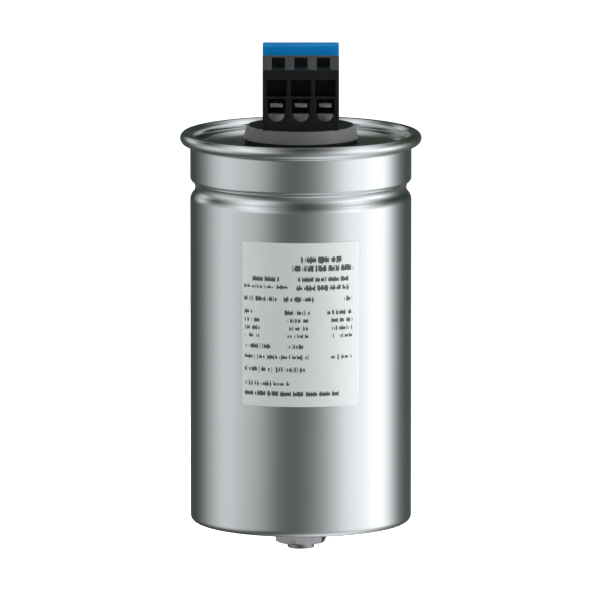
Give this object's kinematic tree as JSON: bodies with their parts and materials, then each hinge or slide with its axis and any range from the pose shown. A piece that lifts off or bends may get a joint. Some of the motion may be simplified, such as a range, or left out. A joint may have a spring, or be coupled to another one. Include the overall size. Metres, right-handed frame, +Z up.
{
  "type": "power factor correction capacitor",
  "caption": "Round aluminium power capacitor with a rolled rim, a base stud, a black terminal block with clamp entries and a blue discharge resistor block on top.",
  "frame": {"origin": "centre of the can's flat base ring, on the can's axis", "axes": "+Z up along the can's axis from the stud to the terminals, -Y to the front with the label and the wire entries, +X to the right seen from the front"},
  "size_m": [0.0982, 0.0982, 0.2065],
  "materials": {
    "can_aluminium": "satin",
    "lid_aluminium": "satin",
    "gasket_rubber": "matte",
    "base_grey": "satin",
    "body_black": "satin",
    "carrier_black": "satin",
    "comb_grey": "satin",
    "block_blue": "gloss",
    "label_film": "satin",
    "washer_zinc": "zinc plated",
    "nut_zinc": "zinc plated",
    "cage_steel": "zinc plated",
    "bar_tinned": "tin plated",
    "screw_steel": "zinc plated",
    "pin_brass": "satin"
  },
  "bodies": {
    "root": {"can": "can_aluminium", "clamp_screw_1": "screw_steel", "clamp_screw_2": "screw_steel", "clamp_screw_3": "screw_steel", "contact_bar_1": "bar_tinned", "contact_bar_2": "bar_tinned", "contact_bar_3": "bar_tinned", "hex_nut": "nut_zinc", "label": "label_film", "lid": "lid_aluminium", "lock_washer": "washer_zinc", "module_carrier": "carrier_black", "module_comb": "comb_grey", "module_pin_1": "pin_brass", "module_pin_2": "pin_brass", "module_pin_3": "pin_brass", "resistor_block": "block_blue", "terminal_base": "base_grey", "terminal_body": "body_black", "terminal_gasket": "gasket_rubber", "wire_cage_1": "cage_steel", "wire_cage_2": "cage_steel", "wire_cage_3": "cage_steel"}
  },
  "joints": []
}
